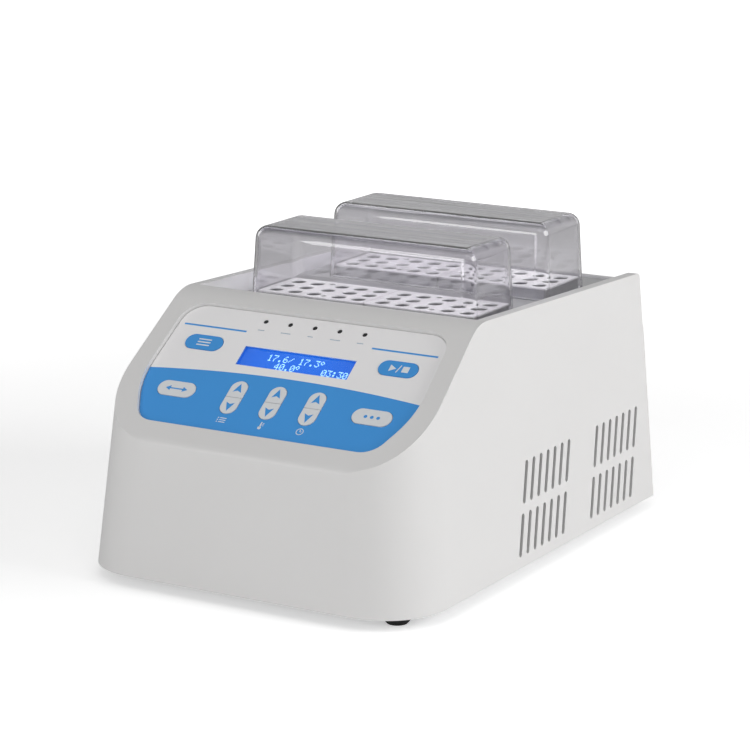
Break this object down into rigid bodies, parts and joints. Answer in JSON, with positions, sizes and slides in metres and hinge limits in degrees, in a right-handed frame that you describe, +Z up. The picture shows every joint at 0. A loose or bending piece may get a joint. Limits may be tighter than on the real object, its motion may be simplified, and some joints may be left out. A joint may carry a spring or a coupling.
{
  "type": "dry block heater",
  "caption": "Bench dry block heater: moulded casing, sloping key panel, lift-out aluminium tube blocks in two heated zones, clear covers, rear inlet and switch.",
  "frame": {"origin": "middle of the footprint on the bench", "axes": "-Y front with the panel, +X right as seen from the front, +Z up"},
  "size_m": [0.235, 0.327, 0.196],
  "materials": {
    "casing": "satin light-gray moulding",
    "base_metal": "plain coated sheet",
    "steel": "plain zinc-plated",
    "foot_rubber": "matt black",
    "deck": "satin gray",
    "overlay": "printed light-gray film with a blue zone",
    "key_blue": "printed blue",
    "key_white": "printed white",
    "lens": "clear over a blue display",
    "display": "lit blue display",
    "lamp": "dark unlit lens",
    "board": "green laminate",
    "component": "black and gray parts",
    "well_metal": "bare aluminium",
    "foil": "amber film",
    "felt": "glass-fibre mat",
    "block_metal": "machined, bead-blasted",
    "clear": "clear polycarbonate",
    "inlet_black": "black moulding",
    "brass": "plated brass"
  },
  "bodies": {
    "housing": {"upper_casing": "casing", "base_plate": "base_metal", "base_screws": "steel", "feet": "foot_rubber", "foot_screws": "steel", "deck_plate": "deck", "deck_screws": "steel", "panel_overlay": "overlay", "lcd_window": "lens", "lcd_module": "display", "led_lamps": "lamp", "control_board": "board", "board_screws": "steel", "key_switches": "component", "pot_a": "well_metal", "pot_b": "well_metal", "pot_screws": "steel", "heater_plate_a": "well_metal", "heater_plate_b": "well_metal", "foil_heater_a": "foil", "foil_heater_b": "foil", "mat_a": "felt", "mat_b": "felt", "sensors": "steel", "thermal_cutouts": "component", "main_board": "board", "standoffs": "brass", "board_parts": "component", "power_supply": "base_metal", "supply_screws": "steel", "mains_inlet": "inlet_black", "inlet_pins": "brass", "inlet_screws": "steel", "switch_body": "inlet_black"},
    "block_a_left_body": {"block_a_left": "block_metal"},
    "block_a_right_body": {"block_a_right": "block_metal"},
    "cover_a_body": {"cover_a": "clear"},
    "block_b_left_body": {"block_b_left": "block_metal"},
    "block_b_right_body": {"block_b_right": "block_metal"},
    "cover_b_body": {"cover_b": "clear"},
    "key_option_body": {"key_option": "key_blue"},
    "key_start_body": {"key_start": "key_blue"},
    "key_swap_body": {"key_swap": "key_white"},
    "key_mode_body": {"key_mode": "key_white"},
    "key_prog_up_body": {"key_prog_up": "key_white"},
    "key_prog_down_body": {"key_prog_down": "key_white"},
    "key_temp_up_body": {"key_temp_up": "key_white"},
    "key_temp_down_body": {"key_temp_down": "key_white"},
    "key_time_up_body": {"key_time_up": "key_white"},
    "key_time_down_body": {"key_time_down": "key_white"},
    "fuse_drawer_body": {"fuse_drawer": "inlet_black", "fuses": "lens"},
    "power_rocker_body": {"power_rocker": "inlet_black"}
  },
  "joints": [
    {"name": "block_a_left_lift", "type": "slide", "parent": "housing", "child": "block_a_left_body", "axis": [0, 0, 1], "range_m": [0, 0.06]},
    {"name": "block_a_right_lift", "type": "slide", "parent": "block_a_left_body", "child": "block_a_right_body", "axis": [0, 0, 1], "range_m": [0, 0.06]},
    {"name": "cover_a_lift", "type": "slide", "parent": "block_a_right_body", "child": "cover_a_body", "axis": [0, 0, 1], "range_m": [0, 0.08]},
    {"name": "block_b_left_lift", "type": "slide", "parent": "housing", "child": "block_b_left_body", "axis": [0, 0, 1], "range_m": [0, 0.06]},
    {"name": "block_b_right_lift", "type": "slide", "parent": "block_b_left_body", "child": "block_b_right_body", "axis": [0, 0, 1], "range_m": [0, 0.06]},
    {"name": "cover_b_lift", "type": "slide", "parent": "block_b_right_body", "child": "cover_b_body", "axis": [0, 0, 1], "range_m": [0, 0.08]},
    {"name": "key_option_press", "type": "slide", "parent": "housing", "child": "key_option_body", "axis": [0, 0.5962, -0.8028], "range_m": [0, 0.0005], "stiffness_N_per_m": 400},
    {"name": "key_start_press", "type": "slide", "parent": "housing", "child": "key_start_body", "axis": [0, 0.5962, -0.8028], "range_m": [0, 0.0005], "stiffness_N_per_m": 400},
    {"name": "key_swap_press", "type": "slide", "parent": "housing", "child": "key_swap_body", "axis": [0, 0.5962, -0.8028], "range_m": [0, 0.0005], "stiffness_N_per_m": 400},
    {"name": "key_mode_press", "type": "slide", "parent": "housing", "child": "key_mode_body", "axis": [0, 0.5962, -0.8028], "range_m": [0, 0.0005], "stiffness_N_per_m": 400},
    {"name": "key_prog_up_press", "type": "slide", "parent": "housing", "child": "key_prog_up_body", "axis": [0, 0.5962, -0.8028], "range_m": [0, 0.0005], "stiffness_N_per_m": 400},
    {"name": "key_prog_down_press", "type": "slide", "parent": "housing", "child": "key_prog_down_body", "axis": [0, 0.5962, -0.8028], "range_m": [0, 0.0005], "stiffness_N_per_m": 400},
    {"name": "key_temp_up_press", "type": "slide", "parent": "housing", "child": "key_temp_up_body", "axis": [0, 0.5962, -0.8028], "range_m": [0, 0.0005], "stiffness_N_per_m": 400},
    {"name": "key_temp_down_press", "type": "slide", "parent": "housing", "child": "key_temp_down_body", "axis": [0, 0.5962, -0.8028], "range_m": [0, 0.0005], "stiffness_N_per_m": 400},
    {"name": "key_time_up_press", "type": "slide", "parent": "housing", "child": "key_time_up_body", "axis": [0, 0.5962, -0.8028], "range_m": [0, 0.0005], "stiffness_N_per_m": 400},
    {"name": "key_time_down_press", "type": "slide", "parent": "housing", "child": "key_time_down_body", "axis": [0, 0.5962, -0.8028], "range_m": [0, 0.0005], "stiffness_N_per_m": 400},
    {"name": "fuse_drawer_slide", "type": "slide", "parent": "housing", "child": "fuse_drawer_body", "axis": [0, 1, 0], "range_m": [0, 0.018]},
    {"name": "power_rocker_tip", "type": "hinge", "parent": "housing", "child": "power_rocker_body", "pos_m": [-0.02, 0.1501, 0.048], "axis": [0, 0, 1], "range_deg": [0, 16]}
  ]
}
